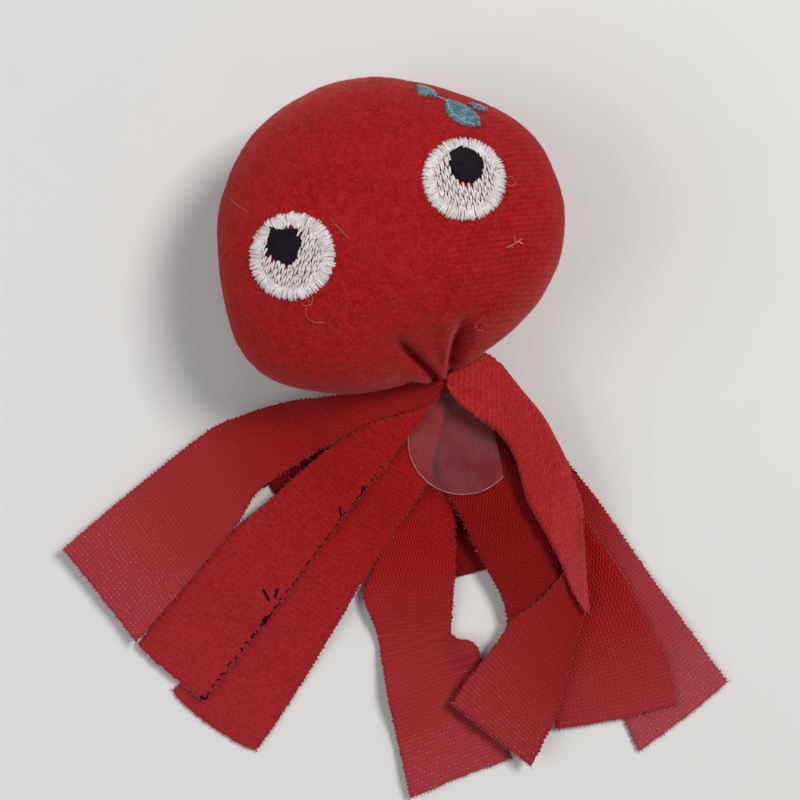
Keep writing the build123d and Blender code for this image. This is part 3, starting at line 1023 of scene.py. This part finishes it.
def edge_fuzz(name, grid, normal, count, seed):
    """Loose fibre ends along the cut edges, and a few lying on the nap."""
    rows, columns, _ = grid.shape
    noise = np.random.default_rng(seed)
    paths, ups = [], []
    for _ in range(count):
        row = noise.integers(2, rows)
        side = noise.choice([0, 1, 2, 2, 3, 4])
        if side < 2:
            column, inner = (0, 1) if side else (columns - 1, columns - 2)
            out = unit(grid[row, column] - grid[row, inner])
        elif side == 2:
            row, column = rows - 1, noise.integers(0, columns)
            out = unit(grid[-1, column] - grid[-2, column])
        else:
            column = noise.integers(0, columns)
            out = unit(noise.normal(size=3) * [1, 1, 0.2])
        up = normal[row, column] * (1 if noise.uniform() < 0.75 else -1)
        lift = 0.12 if side < 3 else 0.34
        start = grid[row, column] + up * lift
        way = unit(out + noise.normal(0, 0.45, 3) + up * 0.15)
        length = noise.uniform(0.2, 0.75)
        bend = unit(way + noise.normal(0, 0.5, 3)) * length * 0.5
        path = np.array([start - way * 0.1, start + way * length * 0.5, start + way * length * 0.5 + bend])
        path[:, 2] = np.maximum(path[:, 2], 0.03)
        paths.append(path)
        ups.append(np.tile(up, (3, 1)))
    return threads(name, paths, 0.022, 0.022, np.array(ups), EDGE_FIBRE, sides=3, taper=(1, 0.9, 0.3))


def finished_strip(name, node, facts, grid, seed):
    """The cloth and its fuzz, with the CAD strip hidden and their placement baked in."""
    uv = cloth_uv(grid)
    grid = jagged_edges(grid, seed)
    cloth, normal = cloth_sheet(name, grid, CLOTH, CLOTHS[facts.get("cloth", "plain")], uv, facts["up"])
    fuzz = edge_fuzz(f"{name}_fuzz", grid, normal, 1600, seed + 100)
    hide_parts(node)
    for piece in (cloth, fuzz):
        follow_joint(piece)
    return cloth, fuzz, grid, normal, facts["body"]


made_strips = {}
for seed, (node, facts) in enumerate(STRIPS.items(), start=1):
    edges = [[tuple(NECK), *facts[side]] for side in ("left", "right")]
    (sheet_grid,) = strip_grids([(*edges, facts["places"], facts.get("root", ROOT))],
                                facts.get("rounding", 5))
    sheet_grid = shaped(sheet_grid, seed, facts["curl"], facts["bulge"])
    sheet_grid[..., 2] = np.maximum(sheet_grid[..., 2], CLOTH / 2 + 0.02)
    made_strips[node] = finished_strip(f"{node}_cloth", node, facts, sheet_grid, seed)


ROLL = 1.1  # thickness of the rolled-under margins of the folded strip's outer run


def rolled_under(grid):
    """Both margins of a bunched strip turned under, so that it shows only its middle."""
    rows, columns, _ = grid.shape
    w = np.linspace(-1, 1, columns)
    distance = np.linalg.norm(grid[:, columns // 2, :2] - NECK, axis=1)
    t = np.linspace(0, 1, rows)
    out = grid.copy()
    for row in range(rows):
        shown = 1 - 0.42 * ease(distance[row], 4, 12) * (1 - ease(t[row], 0.72, 0.97))
        reach = np.abs(w)
        lateral = np.where(reach < shown, reach / shown, 1 - (reach - shown) / shown)
        lateral = np.minimum(lateral, 1.0) * np.sign(w)
        drop = ROLL * ease(reach, shown - 0.08, shown + 0.10) * (shown < 0.97)
        for k in (0, 1, 2):
            out[row, :, k] = np.interp(lateral, w, grid[row, :, k])
        out[row, :, 2] -= drop
    return out


def folded_strip():
    """The strip that runs out brushed side up, then doubles back under itself along a crease."""
    start = [[tuple(NECK), *FOLDED[side]] for side in ("left", "right")]
    back = [[FOLDED[side][-1], *FOLDED_BACK[side]] for side in ("left", "right")]
    upper, lower = strip_grids([(*start, FOLDED["places"], FOLDED["root"]),
                                (*back, FOLDED_BACK["places"], 0)])
    upper = rolled_under(shaped(upper, 9, FOLDED["curl"], 0.0))
    lower = shaped(lower, 10, 0.1, 0.0)
    crease = upper[-1]
    rise = (upper[-1, :, 2] - lower[0, :, 2]) / 2
    turn = []
    for angle in np.linspace(0.15, 0.85, 6) * math.pi:
        row = crease.copy()
        row[:, 0] += np.linspace(0.6, 0.0, COLUMNS) * rise * math.sin(angle)
        row[:, 2] = crease[:, 2] - rise + rise * math.cos(angle)
        turn.append(row)
    grid = np.concatenate([upper, np.array(turn), lower[1:]])
    return finished_strip("tentacle_6_folded_cloth", "tentacle_6_folded", FOLDED, grid, 9)


made_strips["tentacle_6_folded"] = folded_strip()
for node, (cloth, fuzz, sheet_grid, _, _) in made_strips.items():
    middle = sheet_grid[:, COLUMNS // 2]
    cut_length = np.linalg.norm(np.diff(middle, axis=0), axis=1).sum()


# ---------------------------------------------------------------- what lies on the strips
strip_trees = {}


def tree_of(piece):
    points = read_points(piece)
    return BVHTree.FromPolygons([tuple(p) for p in points],
                                [tuple(p.vertices) for p in piece.data.polygons])


def on_strip(node, flat):
    """Points in plan dropped onto a strip's upper side."""
    tree = strip_trees.setdefault(node, tree_of(made_strips[node][0]))
    spots = []
    for x, y in np.asarray(flat, float).reshape(-1, 2):
        hit = tree.ray_cast(Vector((x, y, 80)), Vector((0, 0, -1)))[0]
        spots.append(hit or tree.find_nearest(Vector((x, y, 8)))[0])
    return np.array(spots).reshape(*np.asarray(flat).shape[:-1], 3)


def dashes(line, gap, seed):
    """A wandering dashed line through the points."""
    line = np.asarray(line, float)
    noise = np.random.default_rng(seed)
    reach = np.r_[0, np.cumsum(np.linalg.norm(np.diff(line, axis=0), axis=1))]
    place, paths = 0.0, []
    while place < reach[-1]:
        length = noise.uniform(0.5, 1.5)
        spread = np.linspace(place, min(place + length, reach[-1]), 5)
        dash = np.stack([np.interp(spread, reach, line[:, k]) for k in (0, 1)], 1)
        paths.append(dash + noise.normal(0, 0.10, (1, 2)) + noise.normal(0, 0.05, dash.shape))
        place += length + noise.uniform(0.3, 1.5) * gap
    return paths


def ink_on(name, node, paths, width, height=0.05):
    spots = on_strip(node, paths) + UP * 0.02
    piece = threads(name, spots, width, height, UP, INK, sides=4)
    follow_joint(piece)
    return piece


INK_LINE = [(-38.2, -94.2), (-26.6, -78.4), (-18.2, -67.0), (-10.1, -55.9), (-5.9, -50.7),
            (-1.6, -45.1)]
ink_on("left_ink_line", "tentacle_2_left", dashes(INK_LINE, 1.0, 1), 0.17)
BOLD_MARKS = [
    straight((-10.8, -54.3), (-10.4, -57.0), 5), straight((-26.9, -71.6), (-25.6, -74.0), 5),
    straight((-23.8, -71.4), (-24.5, -73.4), 5), straight((-25.6, -77.0), (-26.7, -79.4), 5),
    straight((-27.3, -79.0), (-26.0, -78.3), 5), straight((-38.6, -94.9), (-40.2, -94.2), 5),
    straight((-40.2, -94.2), (-39.4, -95.6), 5), straight((-5.8, -49.8), (-6.4, -51.6), 5),
]
ink_on("left_ink_marks", "tentacle_2_left", BOLD_MARKS, 0.30)
ink_on("far_left_ink_mark", "tentacle_1_far_left", [straight((-25.3, -49.4), (-26.4, -50.6), 5)], 0.2)
ink_on("far_right_ink_marks", "tentacle_8_far_right",
       dashes([(34.5, -42.4), (36.2, -44.4), (38.3, -46.8), (39.2, -49.0)], 0.5, 3), 0.16)

FILM_CENTRE, FILM_RADIUS = np.array((14.4, -40.4)), 11.2
FILM_PLACE = 6.0  # its place in the pile
FILM_RINGS, FILM_SPOKES = 22, 96
# The film turns down under the folded strip along the line between these points.
TUCK_FROM, TUCK_TO = np.array((20.7, -38.0)), np.array((22.8, -47.6))


def film_disc():
    """A round clear film seal, printed side left blank, that sags a little over the strips."""
    rings, spokes = FILM_RINGS, FILM_SPOKES
    points, faces = [], []
    for ring in range(rings + 1):
        radius = (FILM_RADIUS - 0.05) * ring / rings
        for k in range(spokes):
            turn = 2 * math.pi * k / spokes
            points.append(FILM_CENTRE + radius * np.array([math.cos(turn), math.sin(turn)]))
    flat = np.array(points)
    tuck = unit(TUCK_TO - TUCK_FROM)
    beyond = (flat - TUCK_FROM) @ np.array([-tuck[1], tuck[0]])
    flat -= np.maximum(beyond, 0)[:, None] * np.array([-tuck[1], tuck[0]])
    distance = np.linalg.norm(flat - NECK, axis=1)
    height = pile_height(distance, (FILM_PLACE,) * 8) - 0.3
    height += 0.12 * smooth_noise(flat, 15.0, 31) - 0.25 * np.maximum(beyond, 0)
    points = np.column_stack([flat, height])
    for ring in range(rings):
        for k in range(spokes):
            a, b = ring * spokes + k, ring * spokes + (k + 1) % spokes
            faces.append([a, a + spokes, b + spokes, b] if ring else [a, a + spokes, b + spokes])
    piece = mesh_piece("film_disc_clear", points * MM, faces, [FILM])
    free = np.flatnonzero(beyond[-spokes:] <= 0.05)
    free = np.roll(free, -1 - int(np.argmax(np.diff(free)))) if np.diff(free).max() > 1 else free
    edge = points[-spokes:][free][None]
    rim = threads("film_disc_rim", edge, 0.07, 0.04, UP, FILM_EDGE, sides=4)
    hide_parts("film_disc")
    for made in (piece, rim):
        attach(made, "centre_right_tentacle")


film_disc()


# ---------------------------------------------------------------- skirt, tie, inside
SKIRT_EDGE = [(-8.0, -37.0), (-18.0, -43.0), (-25.8, -47.6), (-25.4, -51.4), (-16.0, -57.6),
              (0.0, -66.4), (13.1, -69.4), (19.2, -67.8), (31.0, -64.4), (36.4, -58.4),
              (32.0, -51.0), (26.0, -44.0), (16.0, -31.8)]


def skirt():
    """The head's own cloth below the neck, which fans out flat under the strips."""
    rows, columns = 60, 160
    edge = along_edge(SKIRT_EDGE, columns, 0, 2)
    share = np.linspace(0.10, 1, rows)[:, None, None]
    flat = NECK * (1 - share) + edge[None] * share
    distance = np.linalg.norm(flat - NECK, axis=-1)
    height = pile_height(distance, (0,) * 8)
    turn = np.linspace(0, 1, columns)[None, :]
    height += 0.18 * np.sin(turn * 60) * np.exp(-distance / 14)
    height -= 0.08
    grid = np.dstack([flat, np.maximum(height, 0.40)])
    grid = jagged_edges(grid, 40, 0.3)
    uv = np.stack(np.broadcast_arrays(turn * 7, distance / 10), -1).reshape(-1, 2)
    # The skirt's upper side is the half-bright plush: painted shade.
    cloth, normal = cloth_sheet("cover_skirt_cloth", grid, 0.7, [SKIRT_PAINTED_SHADE, LOOPED], uv, "looped")
    fuzz = edge_fuzz("cover_skirt_fuzz", grid, normal, 900, 41)
    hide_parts("cover_skirt")
    for piece in (cloth, fuzz):
        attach(piece, "head")
    outline = np.array([tuple(NECK), *SKIRT_EDGE])
    after = np.roll(outline, -1, axis=0)
    area = abs((outline[:, 0] * after[:, 1] - after[:, 0] * outline[:, 1]).sum()) / 2


TIE_TURNS = 9
TIE_LOW, TIE_HIGH = 5.7, 12.2  # heights between which the thread is wound
TIE_RADIUS = 3.0
BUNCH_SIDES = 96
BUNCH_LEVELS = np.linspace(5.3, 18.0, 20)


def neck_tie():
    """Thread wound round the neck over the bunched ends of the strips."""
    turns = np.linspace(0, TIE_TURNS * 2 * math.pi, TIE_TURNS * 30)
    height = np.linspace(TIE_LOW, TIE_HIGH, len(turns))
    height += 0.12 * np.sin(turns * 0.37)
    radius = TIE_RADIUS + 0.08 * np.sin(turns * 1.7)
    ups = np.stack([np.cos(turns), np.sin(turns), 0 * turns], 1)
    path = np.column_stack([NECK[0] + radius * ups[:, 0], NECK[1] + radius * ups[:, 1], height])
    wraps = threads("neck_tie_thread", [path], 0.42, 0.38, ups[None], TIE)
    around = np.linspace(0, 2 * math.pi, BUNCH_SIDES + 1)[:-1]
    flutes = 2.65 + 0.22 * np.cos(9 * around) + 0.12 * np.cos(14 * around + 1)
    rings = []
    for z in BUNCH_LEVELS:
        middle = NECK + NECK_WAY * 1.8 * ease(z, 12.0, 15.5)  # it leans over into the head
        wide = flutes * (1 - 0.75 * ease(z, 15.5, 18.4))
        rings.append(np.column_stack([middle[0] + wide * np.cos(around),
                                      middle[1] + wide * np.sin(around),
                                      np.full(BUNCH_SIDES, z)]))
    shell = np.concatenate(rings)
    faces = []
    for first in range(0, len(shell) - BUNCH_SIDES, BUNCH_SIDES):
        for k in range(BUNCH_SIDES):
            a, b = first + k, first + (k + 1) % BUNCH_SIDES
            faces.append([a, b, b + BUNCH_SIDES, a + BUNCH_SIDES])
    faces += [list(range(BUNCH_SIDES))[::-1], list(range(len(shell) - BUNCH_SIDES, len(shell)))]
    bunch = mesh_piece("neck_bunched_cloth", shell * MM, faces, [PLUSH])
    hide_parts("neck_tie")
    for piece in (wraps, bunch):
        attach(piece, "head")


STUFFING_SHORT = 13  # the stuffing ends this far from the neck
STUFFING_MARGIN, NECK_MARGIN = 1.3, 3.4  # kept from the cover, and how much more beside the neck


def stuffing():
    """A lumpy mass of polyester fibre that fills the head and closes round the pouch."""
    skin = bmesh.new()
    skin.from_mesh(frame["nodes"]["head_stuffing"].data)
    piece = divided(remeshed(skin, "head_stuffing_fibre", 0.0022, 3), 1)
    points = tapered(read_points(piece))
    normals = read_normals(piece)
    points += normals * (0.35 * smooth_noise(points, 5.0, 61) - 0.3)[:, None]
    short = np.maximum(STUFFING_SHORT - np.linalg.norm(points[:, :2] - NECK, axis=1), 0)
    points[:, :2] += NECK_WAY * short[:, None]
    for k, point in enumerate(points):
        spot, normal, _, _ = head_tree.find_nearest(Vector(point))
        by_neck = 1 - ease(np.linalg.norm(point[:2] - NECK), 8, 24)
        margin = STUFFING_MARGIN + NECK_MARGIN * by_neck
        if (Vector(point) - spot).dot(normal) > -margin:
            points[k] = np.array(spot) - np.array(normal) * margin
    write_points(piece, points)
    piece.data.materials.clear()
    piece.data.materials.append(FILLING)
    head_piece(piece, "head_stuffing")


POUCH_HALF = (10.8, 8.8, 3.2)
SEAM = (10.25, 8.35)  # half of the rectangle that the pouch's seam runs round
SEAM_REACH = (10.8, 8.6)
POUCH_CENTRE = np.array(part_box("catnip_pouch")[0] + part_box("catnip_pouch")[1]) / 2 / MM


def catnip_pouch():
    """A small sewn cotton pillow with a flat seam all round and a running stitch along it."""
    count = 41
    u, v = np.meshgrid(np.linspace(-1, 1, count), np.linspace(-1, 1, count), indexing="ij")
    x = POUCH_HALF[0] * u * (1 - 0.06 * (1 - v**2))
    y = POUCH_HALF[1] * v * (1 - 0.06 * (1 - u**2))
    rise = (np.clip(1 - (u / 0.9) ** 2, 0, 1) * np.clip(1 - (v / 0.88) ** 2, 0, 1)) ** 0.45
    rise = 0.12 + (POUCH_HALF[2] - 0.12) * rise * (1 + 0.05 * np.sin(u * 7 + v * 5))
    rise = np.minimum(rise, POUCH_HALF[2])
    top = np.dstack([x, y, rise]).reshape(-1, 3) + POUCH_CENTRE
    bottom = np.dstack([x, y, -rise]).reshape(-1, 3) + POUCH_CENTRE
    index = np.arange(count * count).reshape(count, count)
    upper = np.stack([index[:-1, :-1], index[1:, :-1], index[1:, 1:], index[:-1, 1:]], -1)
    upper = upper.reshape(-1, 4)
    ring = np.concatenate([index[:, 0], index[-1, 1:], index[-2::-1, -1], index[0, -2:0:-1]])
    after = np.roll(ring, -1)
    wall = np.stack([ring, ring + count**2, after + count**2, after], -1)
    faces = np.concatenate([upper, upper[:, ::-1] + count**2, wall])
    piece = mesh_piece("catnip_pouch_cotton", np.concatenate([top, bottom]) * MM, faces, [COTTON])
    head_piece(piece, "catnip_pouch")
    stitches = []
    for k in np.arange(-0.88, 0.9, 0.11):
        for side in (-1, 1):
            x, y = SEAM[0] * side, SEAM[1] * side
            stitches.append(straight((SEAM_REACH[0] * k, y), (SEAM_REACH[0] * (k + 0.07), y), 4))
            stitches.append(straight((x, SEAM_REACH[1] * k), (x, SEAM_REACH[1] * (k + 0.07)), 4))
    stitches = np.array(stitches)
    flat = np.concatenate([stitches, np.full((*stitches.shape[:2], 1), 0.22)], -1) + POUCH_CENTRE
    head_piece(threads("catnip_pouch_seam", flat, 0.13, 0.10, UP, WHITE), None)


skirt()
neck_tie()
stuffing()
catnip_pouch()


# ---------------------------------------------------------------- loose fibres on the head
def head_fuzz(count, seed):
    """Short brushed fibres that lie over the plush and stand a little at the outline."""
    noise = np.random.default_rng(seed)
    picked = noise.choice(len(head_points), count)
    picked = picked[head_points[picked, 2] > 2.5]
    normals = head_normals[picked]
    ways = unit(np.cross(normals, noise.normal(size=normals.shape)))
    lean = noise.uniform(0.08, 0.75, (len(picked), 1))
    length = noise.uniform(0.35, 0.95, (len(picked), 1))
    start = head_points[picked] - normals * 0.06
    middle = start + unit(ways + normals * lean) * length * 0.55
    bend = unit(ways + normals * (lean - 0.35) + noise.normal(0, 0.35, normals.shape))
    paths = np.stack([start, middle, middle + bend * length * 0.45], 1)
    ups = np.repeat(normals[:, None], 3, 1)
    piece = threads("head_fuzz", paths, 0.018, 0.018, ups, FIBRE, sides=3, taper=(1, 0.85, 0.3))
    head_piece(piece, None)


def stray_hairs(count, seed):
    """Longer pale hairs that have settled on the plush."""
    noise = np.random.default_rng(seed)
    paths = []
    for _ in range(count):
        spot = noise.uniform((-28, -22), (28, 26))
        aim, turn = noise.uniform(0, 6.28), noise.uniform(-0.8, 0.8)
        path = [spot]
        for _ in range(9):
            aim += turn * noise.uniform(0.3, 1.2)
            path.append(path[-1] + np.array([math.cos(aim), math.sin(aim)]) * 0.62)
        paths.append(path)
    spots, ups = on_head(np.array(paths), arch(10, -0.05, 0.30))
    piece = threads("head_stray_hairs", spots, 0.018, 0.018, ups, PALE_FIBRE, sides=4)
    head_piece(piece, None)


STRAW_SPOT = np.array((23.5, -2.4))
STRAW_BITS = [((-1.6, -0.9), (1.3, 0.9)), ((-0.2, 0.1), (-0.3, 1.3)), ((0.2, 0.3), (1.5, -0.1)),
              ((-1.0, -0.5), (-0.6, -0.9))]
head_fuzz(13500, 71)
stray_hairs(9, 75)
straw, straw_ups = on_head([straight(STRAW_SPOT + a, STRAW_SPOT + b, 6) for a, b in STRAW_BITS],
                           arch(6, 0.05, 0.35))
head_piece(threads("head_straw_fibre", straw, 0.05, 0.04, straw_ups, STRAW, sides=4), None)
